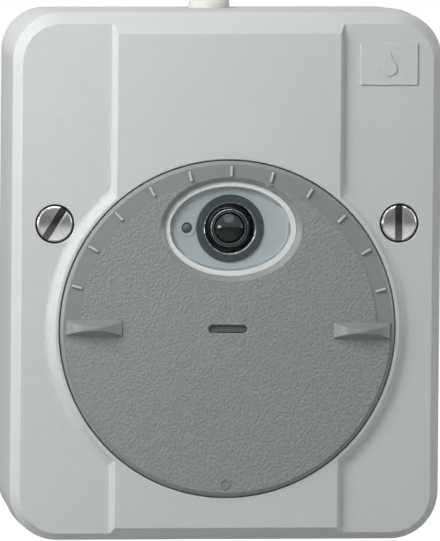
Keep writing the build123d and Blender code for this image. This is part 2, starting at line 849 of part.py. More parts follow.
# Brass clamps: square sleeves that lie in the chambers
clamp_width = chamber_width - 2 * clamp_clearance
clamp_rise = chamber_rise - 2 * clamp_clearance
clamp_height = chamber_height - 2 * block_edge
with BuildPart() as terminal_clamps:
    with BuildSketch(front_plane(chamber_back)):
        for x, z in pole_spots:
            with Locations((x, block_bottom + chamber_height - clamp_height / 2 - clamp_clearance)):
                Rectangle(clamp_width, clamp_height)
    extrude(amount=clamp_rise)
    with BuildSketch(front_plane(chamber_back + clamp_wall)):
        for x, z in pole_spots:
            with Locations((x, block_bottom + chamber_height - clamp_height / 2)):
                Rectangle(clamp_width - 2 * clamp_wall, clamp_height + overrun)
    extrude(amount=clamp_rise - 2 * clamp_wall, mode=Mode.SUBTRACT)
    with BuildSketch(front_plane(chamber_back + clamp_rise - clamp_wall)):
        for x, z in pole_spots:
            with Locations((x, chamber_centre_z)):
                Circle(clamp_screw_radius + clamp_hole_clearance)
    extrude(amount=clamp_wall, mode=Mode.SUBTRACT)
save(terminal_clamps.part, "terminal_clamps")


# Terminal screws
with BuildPart() as terminal_screws:
    for x, z in pole_spots:
        add(
            slotted_screw(
                x,
                chamber_centre_z,
                chamber_back + clamp_rise,
                clamp_screw_head_radius,
                clamp_screw_head_height,
                clamp_screw_radius,
                clamp_screw_reach,
                clamp_screw_slot_width,
                clamp_screw_slot_depth,
            )
        )
save(terminal_screws.part, "terminal_screws")


def board_block(x, z, width, height, rise, edge):
    """A box-shaped component that stands on the main board, with its front edges broken."""
    with BuildPart() as block:
        with BuildSketch(front_plane(board_front)):
            with Locations((x, z)):
                Rectangle(width, height)
        extrude(amount=rise)
        chamfer(block.faces().sort_by(Axis.Y)[0].edges(), length=edge)
    return block.part


save(board_block(relay_x, relay_z, relay_width, relay_height, relay_rise, relay_edge), "relay")
save(board_block(film_x, film_z, film_width, film_height, film_rise, film_edge), "film_capacitor")


# Smoothing capacitor: a can with a crimped groove near its foot
groove_middle = board_front + smoothing_rise * smoothing_groove_share
with BuildPart() as smoothing_capacitor:
    revolve(
        turned_face(
            [
                (0, board_front),
                (smoothing_radius, board_front),
                (smoothing_radius, groove_middle - smoothing_groove),
                (smoothing_radius - smoothing_groove, groove_middle),
                (smoothing_radius, groove_middle + smoothing_groove),
                (smoothing_radius, board_front + smoothing_rise - smoothing_groove),
                (smoothing_radius - smoothing_groove, board_front + smoothing_rise),
                (0, board_front + smoothing_rise),
            ],
            smoothing_x,
            smoothing_z,
        ),
        axis=forward_axis(smoothing_x, smoothing_z),
    )
save(smoothing_capacitor.part, "smoothing_capacitor")


# Surge absorber: a lacquered disc on two legs
absorber_centre = board_front + absorber_leg_length + absorber_radius
with BuildPart() as surge_absorber:
    with BuildSketch(Plane(origin=(absorber_x, -absorber_centre, absorber_z), z_dir=(0, 0, 1))):
        Circle(absorber_radius)
    extrude(amount=absorber_thickness / 2, both=True)
    with BuildSketch(front_plane(board_front)):
        with Locations((absorber_x, absorber_z)):
            with GridLocations(absorber_leg_pitch, 0, 2, 1):
                Circle(absorber_leg_radius)
    extrude(amount=absorber_leg_length + absorber_radius / 2)
save(surge_absorber.part, "surge_absorber")


# Fuse: a small upright can
with BuildPart() as board_fuse:
    with BuildSketch(front_plane(board_front)):
        with Locations((fuse_x, fuse_z)):
            Circle(fuse_radius)
    extrude(amount=fuse_rise)
    fillet(faces().sort_by(Axis.Y)[0].edges(), radius=smoothing_groove)
save(board_fuse.part, "board_fuse")


# Rectifier with one corner cut off to show its plus leg
with BuildPart() as rectifier:
    with BuildSketch(front_plane(board_front)):
        with Locations((rectifier_x, rectifier_z)):
            Rectangle(rectifier_width, rectifier_height)
        chamfer(vertices().sort_by(Axis.X)[-1], length=rectifier_notch)
    extrude(amount=rectifier_rise)
save(rectifier.part, "rectifier")


# Control chip: the moulded body and its two rows of legs
with BuildPart() as control_chip:
    with BuildSketch(front_plane(board_front + chip_stand)):
        with Locations((chip_x, chip_z)):
            Rectangle(chip_width, chip_height)
        with Locations((chip_x - chip_width / 2, chip_z)):
            Circle(chip_notch_radius, mode=Mode.SUBTRACT)
    extrude(amount=chip_rise)
    with BuildSketch(front_plane(board_front)):
        with Locations((chip_x, chip_z)):
            with GridLocations(chip_leg_pitch, chip_height + chip_leg_thickness, chip_leg_count, 2):
                Rectangle(chip_leg_width, chip_leg_thickness)
    extrude(amount=chip_stand + chip_rise / 2)
save(control_chip.part, "control_chip")


# Resistors: a row of axial bodies lying on the board on bent leads
with BuildPart() as resistors:
    body_half = resistor_length / 2
    for place in range(resistor_count):
        x = resistor_x + (place - (resistor_count - 1) / 2) * resistor_pitch
        body_depth = board_front + resistor_radius
        with BuildSketch(Plane(origin=(x, -body_depth, resistor_z - body_half), z_dir=(0, 0, 1))):
            Circle(resistor_radius)
        extrude(amount=resistor_length)
        for end in (-1, 1):
            lead_start = Plane(origin=(x, -body_depth, resistor_z + end * body_half), z_dir=(0, 0, end))
            with BuildSketch(lead_start):
                Circle(resistor_lead_radius)
            extrude(amount=resistor_lead_length)
            lead_end_z = resistor_z + end * (body_half + resistor_lead_length - resistor_lead_radius)
            with BuildSketch(front_plane(board_front)):
                with Locations((x, lead_end_z)):
                    Circle(resistor_lead_radius)
            extrude(amount=resistor_radius)
save(resistors.part, "resistors")


# Potentiometer case on the dial axis
pot_inner_radius = pot_wiper_radius + pot_wiper_gap
with BuildPart() as potentiometer_case:
    revolve(
        turned_face(
            [
                (0, board_front),
                (pot_radius, board_front),
                (pot_radius, pot_front),
                (pot_shaft_radius + pot_clearance, pot_front),
                (pot_shaft_radius + pot_clearance, pot_front - pot_wall),
                (pot_inner_radius, pot_front - pot_wall),
                (pot_inner_radius, board_front + pot_wall),
                (0, board_front + pot_wall),
            ],
            0,
            -dial_drop,
        ),
        axis=forward_axis(0, -dial_drop),
    )
save(potentiometer_case.part, "potentiometer_case")


# Everything from here on turns with the dial.

# Potentiometer rotor: wiper disc and shaft
wiper_back = (board_front + pot_front - pot_wiper_thickness) / 2
rotor_front = spindle_back + socket_depth - socket_end_gap
with BuildPart() as potentiometer_rotor:
    revolve(
        turned_face(
            [
                (0, wiper_back),
                (pot_wiper_radius, wiper_back),
                (pot_wiper_radius, wiper_back + pot_wiper_thickness),
                (pot_shaft_radius, wiper_back + pot_wiper_thickness),
                (pot_shaft_radius, rotor_front),
                (0, rotor_front),
            ],
            0,
            -dial_drop,
        ),
        axis=forward_axis(0, -dial_drop),
    )
save(potentiometer_rotor.part, "potentiometer_rotor")


# Dial spindle: tail with a socket for the rotor, grooves for clip and seal, flange, head and drive tang
flange_back = pocket_floor_depth + spindle_flange_gap
flange_front = flange_back + spindle_flange_thickness
seal_depth = hub_back + (hub_length + pocket_floor_thickness) * seal_ring_depth_share
seal_groove_radius = spindle_radius - 2 * seal_ring_radius + seal_ring_sink
socket_radius = pot_shaft_radius + socket_clearance
with BuildPart() as dial_spindle:
    revolve(
        turned_face(
            [
                (0, spindle_back + socket_depth),
                (socket_radius, spindle_back + socket_depth),
                (socket_radius, spindle_back),
                (spindle_radius, spindle_back),
                (spindle_radius, clip_back),
                (clip_groove_radius, clip_back),
                (clip_groove_radius, clip_front),
                (spindle_radius, clip_front),
                (spindle_radius, seal_depth - seal_ring_radius),
                (seal_groove_radius, seal_depth - seal_ring_radius),
                (seal_groove_radius, seal_depth + seal_ring_radius),
                (spindle_radius, seal_depth + seal_ring_radius),
                (spindle_radius, flange_back),
                (spindle_flange_radius, flange_back),
                (spindle_flange_radius, flange_front),
                (spindle_head_radius, flange_front),
                (spindle_head_radius, dial_under_depth),
                (0, dial_under_depth),
            ],
            0,
            -dial_drop,
        ),
        axis=forward_axis(0, -dial_drop),
    )
    with BuildSketch(dial_plane(dial_under_depth)):
        SlotOverall(tang_length, tang_thickness)
    extrude(amount=dial_face_thickness - tang_sink)
save(dial_spindle.part, "dial_spindle")


# Spindle seal: a rubber ring in the spindle's groove
with BuildPart() as spindle_seal:
    with BuildSketch(side_plane(0, -dial_drop)):
        with Locations((seal_groove_radius + seal_ring_radius, seal_depth)):
            Circle(seal_ring_radius - seal_ring_sink)
    revolve(axis=forward_axis(0, -dial_drop))
save(spindle_seal.part, "spindle_seal")


# Spindle clip: an open spring washer that keeps the spindle in its hub
with BuildPart() as spindle_clip:
    with BuildSketch(dial_plane(clip_back)):
        Circle(clip_radius)
        Circle(clip_groove_radius, mode=Mode.SUBTRACT)
        with Locations((0, -clip_radius)):
            Rectangle(clip_mouth_width, 2 * clip_radius, mode=Mode.SUBTRACT)
    extrude(amount=clip_thickness)
save(spindle_clip.part, "spindle_clip")


# One grip of the dial: an arched bar with sloping flanks, its foot centred on the origin
with BuildPart() as grip_bar:
    with BuildSketch(Plane.XZ):
        with BuildLine():
            half = grip_length / 2
            foot = Polyline(
                (half, grip_end_height), (half, -face_step), (-half, -face_step), (-half, grip_end_height)
            )
            ThreePointArc(foot @ 1, (0, grip_height), foot @ 0)
        make_face()
    extrude(amount=grip_width / 2, both=True)
    with BuildSketch(Plane.YZ):
        with BuildLine():
            Polyline(
                (-grip_width / 2, -face_step),
                (grip_width / 2, -face_step),
                (grip_width / 2, 0),
                (grip_top_width / 2, grip_height),
                (-grip_top_width / 2, grip_height),
                (-grip_width / 2, 0),
                close=True,
            )
        make_face()
    extrude(amount=grip_length / 2, both=True, mode=Mode.INTERSECT)
    ridges = edges().filter_by(GeomType.LINE, reverse=True)
    fillet(ridges, radius=grip_edge_radius)


# Dial disc: face, rim and grips in one moulding
sensor_board_back = pocket_floor_depth + sensor_board_floor_gap
sensor_board_front = sensor_board_back + sensor_board_thickness
with BuildPart() as dial_disc:
    with BuildSketch(dial_plane(pocket_floor_depth + dial_floor_gap)):
        Circle(dial_radius)
    extrude(amount=rim_band_depth - pocket_floor_depth - dial_floor_gap)
    chamfer(faces().sort_by(Axis.Y)[0].edges(), length=dial_edge_chamfer)
    rim_edges = edges().filter_by_position(Axis.Y, -rim_band_depth - pick_band, -dial_under_depth)
    fillet(rim_edges.filter_by(GeomType.CIRCLE), radius=dial_edge_radius)
    with BuildSketch(dial_plane(pocket_floor_depth + dial_floor_gap)):
        Circle(dial_radius - dial_skirt_thickness)
    extrude(amount=dial_under_depth - pocket_floor_depth - dial_floor_gap, mode=Mode.SUBTRACT)
    # The grained face stands a hair higher than the rim band, which runs over the top from grip to grip
    with BuildSketch(dial_plane(rim_band_depth)):
        Circle(lower_face_radius)
        with Locations((0, dial_radius)):
            Rectangle(2 * dial_radius, 2 * dial_radius, mode=Mode.SUBTRACT)
        Circle(line_radius)
    extrude(amount=face_step)
    # Boss that the spindle head sits in, and bosses for the tray screws
    with BuildSketch(dial_plane(flange_front + dial_floor_gap)):
        Circle(drive_boss_radius)
        Circle(drive_boss_bore, mode=Mode.SUBTRACT)
    extrude(amount=dial_under_depth - flange_front - dial_floor_gap)
    with BuildSketch(dial_plane(sensor_board_front)):
        with Locations(*tray_screw_spots):
            Circle(tray_boss_radius)
            Circle(tray_screw_radius + pilot_clearance, mode=Mode.SUBTRACT)
    extrude(amount=dial_under_depth - sensor_board_front)
    # Drive slot for the tang
    with BuildSketch(dial_plane(dial_under_depth)):
        SlotOverall(drive_slot_length, drive_slot_width)
    extrude(amount=dial_face_thickness, mode=Mode.SUBTRACT)
    slot_edges = edges().filter_by_position(
        Axis.Y, -dial_face_depth - pick_band, -dial_face_depth + pick_band
    )
    slot_edges = slot_edges.filter_by(
        lambda edge: (edge.center() - Vector(0, -dial_face_depth, -dial_drop)).length < drive_slot_length / 2
        and edge.length < 2 * drive_slot_length
    )
    chamfer(slot_edges, length=drive_slot_chamfer)
    # Oval window opening with its sloping edge
    with BuildSketch(dial_plane(dial_under_depth)):
        with Locations((window_shift, window_distance)):
            Ellipse(window_opening_x, window_opening_y)
    extrude(amount=dial_face_thickness + overrun, mode=Mode.SUBTRACT)
    with BuildSketch(dial_plane(dial_face_depth)):
        with Locations((window_shift, window_distance)):
            Ellipse(window_width / 2, window_height / 2)
    with BuildSketch(dial_plane(dial_face_depth - window_chamfer_drop)):
        with Locations((window_shift, window_distance)):
            Ellipse(window_opening_x, window_opening_y)
    loft(mode=Mode.SUBTRACT)
    # Scale ribs, setting mark and grips
    with BuildSketch(dial_plane(rim_band_depth)):
        with PolarLocations(
            tick_inner_radius + tick_length / 2,
            tick_count,
            start_angle=(180 - tick_range) / 2,
            angular_range=tick_range,
            endpoint=True,
        ):
            Rectangle(tick_length, tick_width)
    extrude(amount=tick_rise)
    tick_depth = rim_band_depth + tick_rise
    tick_edges = edges().filter_by_position(Axis.Y, -tick_depth - pick_band, -tick_depth + pick_band)
    fillet(tick_edges, radius=tick_edge_radius)
    with BuildSketch(dial_plane(dial_face_depth)):
        with Locations((0, -mark_distance)):
            Circle(mark_radius)
            Circle(mark_radius - mark_width, mode=Mode.SUBTRACT)
    extrude(amount=mark_rise)
    with Locations(dial_plane(dial_face_depth)):
        with Locations((grip_inner_radius + grip_length / 2, 0), (-grip_inner_radius - grip_length / 2, 0)):
            add(grip_bar.part)
save(dial_disc.part, "dial_disc")


# Sensor tray: the pale oval dish seen through the window
field_depth = dial_under_depth - field_drop
tray_back = field_depth - tray_floor
led_x = window_shift - led_distance
with BuildPart() as sensor_tray:
    with BuildSketch(dial_plane(tray_back)):
        with Locations((window_shift, window_distance)):
            Ellipse(field_width / 2 + tray_wall, field_height / 2 + tray_wall)
    extrude(amount=dial_under_depth - tray_back)
    with BuildSketch(dial_plane(dial_under_depth - tray_wall)):
        with Locations((window_shift, window_distance)):
            Ellipse(window_opening_x + tray_overlap, window_opening_y + tray_overlap)
    extrude(amount=tray_wall)
    with BuildSketch(dial_plane(field_depth)):
        with Locations((window_shift, window_distance)):
            Ellipse(field_width / 2, field_height / 2)
    extrude(amount=field_drop + overrun, mode=Mode.SUBTRACT)
    # Ring round the indicator and the two feet that stand on the sensor board
    with BuildSketch(dial_plane(field_depth)):
        with Locations((led_x, window_distance)):
            Circle(led_boss_radius)
    extrude(amount=led_boss_rise)
    with BuildSketch(dial_plane(sensor_board_front)):
        for side in (-1, 1):
            with Locations((window_shift + side * field_width / 2, window_distance)):
                Circle(tray_wall - tray_foot_inset)
    extrude(amount=tray_back - sensor_board_front)
    with BuildSketch(dial_plane(tray_back)):
        with Locations((window_shift, window_distance)):
            Circle(hood_spigot_radius)
        with Locations((led_x, window_distance)):
            Circle(led_radius + led_clearance)
    extrude(amount=tray_floor + led_boss_rise, mode=Mode.SUBTRACT)
save(sensor_tray.part, "sensor_tray")


# Window bezel: the pale oval ring that holds the pane down
with BuildPart() as window_bezel:
    with BuildSketch(dial_plane(dial_under_depth)):
        with Locations((window_shift, window_distance)):
            Ellipse(window_opening_x - bezel_clearance, window_opening_y - bezel_clearance)
            Ellipse(window_opening_x - bezel_width, window_opening_y - bezel_width, mode=Mode.SUBTRACT)
    extrude(amount=bezel_rise)
save(window_bezel.part, "window_bezel")


# Window pane
with BuildPart() as window_pane:
    with BuildSketch(dial_plane(dial_under_depth)):
        with Locations((window_shift, window_distance)):
            Ellipse(
                window_opening_x - bezel_width - bezel_clearance,
                window_opening_y - bezel_width - bezel_clearance,
            )
    extrude(amount=pane_thickness)
save(window_pane.part, "window_pane")


def lens_axis():
    """The lens axis, which turns about the dial centre with the dial."""
    centre = dial_plane(0).from_local_coords(Vector(window_shift, window_distance, 0))
    return centre.X, centre.Z


lens_x, lens_z = lens_axis()

# Sensor hood: the dark flat ring round the lens
hood_front = field_depth + hood_rise
with BuildPart() as sensor_hood:
    revolve(
        turned_face(
            [
                (hood_bore_radius, sensor_board_front),
                (hood_spigot_radius - led_clearance, sensor_board_front),
                (hood_spigot_radius - led_clearance, field_depth),
                (hood_radius, field_depth),
                (hood_radius, hood_front - hood_chamfer / 2),
                (hood_radius - hood_chamfer / 2, hood_front),
                (hood_bore_radius + hood_chamfer, hood_front),
                (hood_bore_radius, hood_front - hood_chamfer),
            ],
            lens_x,
            lens_z,
        ),
        axis=forward_axis(lens_x, lens_z),
    )
save(sensor_hood.part, "sensor_hood")


# Lens barrel: a flanged black tube with a seat for the lens
barrel_front = hood_front - barrel_drop
lens_seat = barrel_front - lens_base_thickness
with BuildPart() as lens_barrel:
    revolve(
        turned_face(
            [
                (barrel_bore_radius, sensor_board_front),
                (barrel_flange_radius, sensor_board_front),
                (barrel_flange_radius, sensor_board_front + barrel_flange_thickness),
                (barrel_radius, sensor_board_front + barrel_flange_thickness),
                (barrel_radius, barrel_front - barrel_lip_chamfer),
                (barrel_radius - barrel_lip_chamfer, barrel_front),
                (barrel_seat_radius, barrel_front),
                (barrel_seat_radius, lens_seat),
                (barrel_bore_radius, lens_seat),
            ],
            lens_x,
            lens_z,
        ),
        axis=forward_axis(lens_x, lens_z),
    )
save(lens_barrel.part, "lens_barrel")


# Sensor lens: a dark glass dome on a short round foot
lens_radius = barrel_seat_radius - lens_clearance
lens_rim = barrel_front - lens_drop
with BuildPart() as sensor_lens:
    with BuildSketch(side_plane(lens_x, lens_z)):
        with BuildLine():
            foot = Polyline(
                (0, lens_rim + lens_dome_height),
                (0, lens_seat),
                (lens_radius, lens_seat),
                (lens_radius, lens_rim),
                (lens_dome_radius, lens_rim),
            )
            dome_radius = (lens_dome_radius**2 + lens_dome_height**2) / (2 * lens_dome_height)
            RadiusArc(foot @ 1, foot @ 0, -dome_radius)
        make_face()
    revolve(axis=forward_axis(lens_x, lens_z))
save(sensor_lens.part, "sensor_lens")


# Sensor board: a plate cut to the dial's round inside
with BuildPart() as sensor_board:
    with BuildSketch(dial_plane(sensor_board_back)):
        with Locations((window_shift, window_distance)):
            Rectangle(sensor_board_width, sensor_board_height)
        Circle(sensor_board_reach, mode=Mode.INTERSECT)
        with Locations(*tray_screw_spots):
            Circle(tray_screw_radius + tray_screw_clearance, mode=Mode.SUBTRACT)
    extrude(amount=sensor_board_thickness)
save(sensor_board.part, "sensor_board")


# Light sensor chip under the lens
with BuildPart() as photo_sensor:
    with BuildSketch(dial_plane(sensor_board_front)):
        with Locations((window_shift, window_distance)):
            Rectangle(photo_sensor_width, photo_sensor_height)
    extrude(amount=photo_sensor_thickness)
save(photo_sensor.part, "photo_sensor")


# Indicator lamp beside the lens
led_front = field_depth + led_boss_rise - led_stand
led_centre = dial_plane(0).from_local_coords(Vector(led_x, window_distance, 0))
with BuildPart() as indicator_led:
    with BuildSketch(side_plane(led_centre.X, led_centre.Z)):
        with BuildLine():
            foot = Polyline(
                (0, led_front + led_dome_height),
                (0, sensor_board_front),
                (led_radius, sensor_board_front),
                (led_radius, led_front),
            )
            dome_radius = (led_radius**2 + led_dome_height**2) / (2 * led_dome_height)
            RadiusArc(foot @ 1, foot @ 0, -dome_radius)
        make_face()
    revolve(axis=forward_axis(led_centre.X, led_centre.Z))
save(indicator_led.part, "indicator_led")


# Tray screws: they pull the sensor board against the dial bosses from behind
with BuildPart() as tray_screws:
    with BuildSketch(dial_plane(sensor_board_back - tray_screw_head_height)):
        with Locations(*tray_screw_spots):
            Circle(tray_screw_head_radius)
    extrude(amount=tray_screw_head_height)
    with BuildSketch(dial_plane(sensor_board_back)):
        with Locations(*tray_screw_spots):
            Circle(tray_screw_radius)
    extrude(amount=tray_screw_length)
save(tray_screws.part, "tray_screws")
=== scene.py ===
from math import cos, radians, sin

import bpy
from mathutils import Matrix, Vector


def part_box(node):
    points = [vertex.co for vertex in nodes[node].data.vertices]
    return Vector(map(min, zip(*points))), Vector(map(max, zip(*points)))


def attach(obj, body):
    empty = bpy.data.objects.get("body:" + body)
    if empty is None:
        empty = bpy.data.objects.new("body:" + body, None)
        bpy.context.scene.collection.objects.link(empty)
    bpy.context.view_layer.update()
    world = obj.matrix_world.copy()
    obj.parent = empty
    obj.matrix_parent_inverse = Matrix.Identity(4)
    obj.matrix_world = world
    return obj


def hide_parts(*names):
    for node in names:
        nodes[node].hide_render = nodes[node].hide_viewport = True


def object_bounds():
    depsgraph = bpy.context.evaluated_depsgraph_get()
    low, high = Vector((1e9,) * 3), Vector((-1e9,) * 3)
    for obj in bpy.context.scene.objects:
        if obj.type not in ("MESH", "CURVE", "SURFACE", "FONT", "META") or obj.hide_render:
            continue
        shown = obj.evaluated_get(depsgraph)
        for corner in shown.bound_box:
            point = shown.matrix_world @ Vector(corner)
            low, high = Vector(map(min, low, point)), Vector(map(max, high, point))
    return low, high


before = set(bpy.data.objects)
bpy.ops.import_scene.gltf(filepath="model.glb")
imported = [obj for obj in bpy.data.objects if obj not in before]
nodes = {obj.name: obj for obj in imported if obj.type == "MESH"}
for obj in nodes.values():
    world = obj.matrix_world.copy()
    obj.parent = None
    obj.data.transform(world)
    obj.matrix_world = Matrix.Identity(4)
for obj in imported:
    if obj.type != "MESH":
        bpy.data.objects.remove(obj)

bl_info = {
    "name": "Twilight Switch",
    "version": (1, 0, 0),
    "blender": (4, 5, 0),
    "location": "3D View > Sidebar > Twilight Switch",
    "description": "Dresses the twilight switch: plastics, metals, sensor window, lamps and camera",
    "category": "Object",
}

MM = 0.001
cad_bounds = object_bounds()


def linear(code):
    """The linear colour, with alpha, of an sRGB hex value."""
    channels = [int(code[i:i + 2], 16) / 255 for i in (0, 2, 4)]
    return [c / 12.92 if c <= 0.04045 else ((c + 0.055) / 1.055) ** 2.4 for c in channels] + [1.0]


def middle(node):
    """The middle of a CAD node's box."""
    low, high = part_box(node)
    return (low + high) / 2


def direction(azimuth, elevation):
    """The direction from the switch to what stands so many degrees to the right of its front and above."""
    turn, rise = radians(azimuth), radians(elevation)
    return Vector((sin(turn) * cos(rise), -cos(turn) * cos(rise), sin(rise)))


def tinted(label, text, code):
    """A colour that the panel can change."""
    return bpy.props.FloatVectorProperty(
        name=label, description=text, default=linear(code), size=4, min=0, max=1, subtype="COLOR"
    )


def measured(label, text, millimetres):
    """A length that the panel can change."""
    return bpy.props.FloatProperty(name=label, description=text, default=millimetres * MM, unit="LENGTH")


class SwitchColours(bpy.types.PropertyGroup):
    housing: tinted("Housing", "Moulded plastic of the box and its cover", "c9cccb")
    dial: tinted("Dial", "Moulded plastic of the turning dial", "898d8c")
    # The spindle's darker grey is partly its own colour and partly painted shade of the drive slot
    spindle: tinted("Spindle", "Tang of the spindle in the drive slot", "5a5e5d")
    cable_seal: tinted("Cable seal", "Milky rubber of the cable plugs", "dedfdb")
    gasket: tinted("Gasket", "Rubber in the joint of the box", "3a3c3d")
    nickel: tinted("Nickel", "Plated steel of the cover screws", "c6c6c8")
    zinc: tinted("Zinc", "Plated steel of the small screws inside", "b4b8bc")
    brass: tinted("Brass", "Turned and stamped brass inside", "c9a45c")
    bezel: tinted("Bezel", "Pale oval ring round the sensor window", "e3e6e5")
    tray: tinted("Sensor tray", "Pale dish behind the window", "d2d6d9")
    hood: tinted("Sensor hood", "Dark ring round the lens", "53595c")
    black: tinted("Black plastic", "Lens barrel and small parts", "17181a")
    lens: tinted("Lens", "Dark glass of the lens", "1c1d20")
    lamp: tinted("Lamp", "Smoky body of the indicator", "6d7478")
    board: tinted("Board", "Lacquered circuit board", "2f6a45")


class SwitchSizes(bpy.types.PropertyGroup):
    erosion_grain: measured("Erosion grain", "Grain of the spark-eroded dial face", 0.24)
    matt_grain: measured("Matt grain", "Grain of the smooth moulded faces", 0.22)
    line_radius: measured("Line radius", "Where the dial's face meets the rim of the scale", 29.6)
    face_thickness: measured("Face thickness", "From the dial's face back to the back of the bezel", 2.0)
    # The bright edges of the hood, barrel and lens are polished rings painted pale and metallic as painted
    # highlights
    hood_bore: measured("Hood bore", "Radius of the bright edge of the sensor hood", 5.1)
    barrel_rim: measured("Barrel rim", "Radius of the bright edge of the lens barrel", 3.66)
    lens_edge: measured("Lens edge", "Radius of the bright edge of the lens", 3.22)
    ring_width: measured("Ring width", "Width of the bright rings round the lens", 0.2)
    floor_gap: measured("Floor gap", "Distance from the lowest point down to the studio floor", 30)


def add_node(tree, kind, inputs=None, links=None, **settings):
    """Add a shader node with its settings, its input values and its links, and return it."""
    made = tree.nodes.new(kind)
    for name, value in settings.items():
        setattr(made, name, value)
    for name, value in (inputs or {}).items():
        made.inputs[name].default_value = value
    for name, source in (links or {}).items():
        tree.links.new(source, made.inputs[name])
    return made


def blank_material(name):
    """A material with an empty node tree and its output node."""
    material = bpy.data.materials.new(name)
    material.use_nodes = True
    material.node_tree.nodes.clear()
    output = add_node(material.node_tree, "ShaderNodeOutputMaterial")
    return material, material.node_tree, output


def object_coordinates(tree, centre=(0, 0, 0)):
    """Object coordinates measured from a centre."""
    source = add_node(tree, "ShaderNodeTexCoord").outputs["Object"]
    return add_node(
        tree, "ShaderNodeVectorMath", {1: centre}, {0: source}, operation="SUBTRACT"
    ).outputs["Vector"]


def reach_and_parts(tree, place):
    """How far a place is from the front-to-back line through the centre, and the place's X, Y and Z."""
    parts = add_node(tree, "ShaderNodeSeparateXYZ", links={"Vector": place}).outputs
    flat = add_node(tree, "ShaderNodeCombineXYZ", links={"X": parts["X"], "Y": parts["Z"]})
    reach = add_node(tree, "ShaderNodeVectorMath", links={0: flat.outputs["Vector"]}, operation="LENGTH")
    return reach.outputs["Value"], parts


def combined(tree, operation, first, second):
    """Two values combined by a maths operation."""
    return add_node(
        tree, "ShaderNodeMath", links={0: first, 1: second}, operation=operation
    ).outputs["Value"]


def near(tree, value, target, tolerance):
    """One where the value is near its target, nought elsewhere."""
    return add_node(
        tree, "ShaderNodeMath", {1: target, 2: tolerance}, {0: value}, operation="COMPARE"
    ).outputs["Value"]


def relief(tree, distance, height, **links):
    """The normal of a face that this height raises by up to this distance."""
    return add_node(
        tree, "ShaderNodeBump", {"Strength": 1.0, "Distance": distance}, {"Height": height, **links}
    ).outputs["Normal"]


def principled(tree, output, inputs, links):
    """Give the material a principled surface with these values and links."""
    surface = add_node(tree, "ShaderNodeBsdfPrincipled", inputs, links)
    tree.links.new(surface.outputs["BSDF"], output.inputs["Surface"])


def grain_noise(tree, place, size, detail=2.0):
    """Noise whose lumps are about this size."""
    return add_node(
        tree, "ShaderNodeTexNoise", {"Scale": 1 / (2 * size), "Detail": detail}, {"Vector": place}
    ).outputs["Fac"]


def span(tree, value, low, high, start=0.0, end=1.0):
    """Map a value from one range to another, kept within it."""
    return add_node(
        tree,
        "ShaderNodeMapRange",
        {"From Min": start, "From Max": end, "To Min": low, "To Max": high},
        {"Value": value},
    ).outputs["Result"]


def shaded(tree, colour, value, low, high):
    """The colour, darker or lighter by the value: low and high are the factors at 0 and 1."""
    factor = span(tree, value, low, high)
    return add_node(
        tree, "ShaderNodeVectorMath", {0: colour[:3]}, {1: factor}, operation="MULTIPLY"
    ).outputs["Vector"]


def speckled(tree, cloud, fine):
    """A slow noise and a fine one with more contrast, half of each."""
    return add_node(
        tree, "ShaderNodeMix", {"Factor": 0.5}, {"A": cloud, "B": span(tree, fine, 0, 1, 0.3, 0.7)}
    ).outputs["Result"]


def moulded_plastic(name, colour, grain, rough=0.42, depth=0.09):
    """Injection-moulded ABS from a finely eroded tool: satin, even colour, a faint grain."""
    material, tree, output = blank_material(name)
    mottle = 0.04
    place = object_coordinates(tree)
    cloud = grain_noise(tree, place, 9 * MM)
    fine = grain_noise(tree, place, grain, detail=3.0)
    principled(
        tree,
        output,
        {"IOR": 1.53},
        {
            "Base Color": shaded(tree, colour, speckled(tree, cloud, fine), 1 - mottle, 1 + mottle),
            "Roughness": span(tree, fine, rough - 0.05, rough + 0.05),
            "Normal": relief(tree, depth * MM, fine),
        },
    )
    return material


def dial_plastic(name, colour, centre, line_radius, face, erosion, matt):
    """Moulded ABS of the dial: spark-eroded flat face, satin rim, scale ribs painted lighter as a painted
    highlight.
    """
    material, tree, output = blank_material(name)
    place = object_coordinates(tree, centre)
    reach, parts = reach_and_parts(tree, place)
    face_level = face - centre.y
    face_tolerance, blur, grain_depth, grip_top = 0.04 * MM, 0.1 * MM, 0.2 * MM, 4 * MM
    rib_highlight_gain = 1.1
    eroded = near(tree, parts["Y"], face_level, face_tolerance)
    # Painted highlight: the ribs, the only things in front of the face outside the line and above the grips,
    # are painted lighter
    proud = span(tree, parts["Y"], 1, 0, face_level - 2 * blur, face_level - blur)
    outside = span(tree, reach, 0, 1, line_radius - blur, line_radius + blur / 2)
    above = span(tree, parts["Z"], 0, rib_highlight_gain, grip_top, grip_top + 1 * MM)
    upper = combined(tree, "MULTIPLY", outside, above)
    # The painted highlight multiplies the ribs' colour by one plus the gain
    painted_rib_highlight = add_node(
        tree, "ShaderNodeMath", {2: 1.0}, {0: proud, 1: upper}, operation="MULTIPLY_ADD"
    ).outputs["Value"]
    coarse = grain_noise(tree, place, erosion, detail=1.0)
    fine = grain_noise(tree, place, matt)
    cloud = grain_noise(tree, place, 8 * MM)
    height = add_node(
        tree, "ShaderNodeMix", links={"Factor": eroded, "A": span(tree, fine, 0, 0.12), "B": coarse}
    ).outputs["Result"]
    tone = add_node(
        tree, "ShaderNodeMix", links={"Factor": eroded, "A": cloud, "B": span(tree, coarse, 0, 1, 0.3, 0.7)}
    ).outputs["Result"]
    paint = add_node(
        tree,
        "ShaderNodeVectorMath",
        links={0: shaded(tree, colour, tone, 0.92, 1.08), 1: painted_rib_highlight},
        operation="MULTIPLY",
    ).outputs["Vector"]
    principled(
        tree,
        output,
        {"IOR": 1.53},
        {
            "Base Color": paint,
            "Roughness": span(tree, eroded, 0.3, 0.5),
            "Normal": relief(tree, grain_depth, height),
        },
    )
    return material


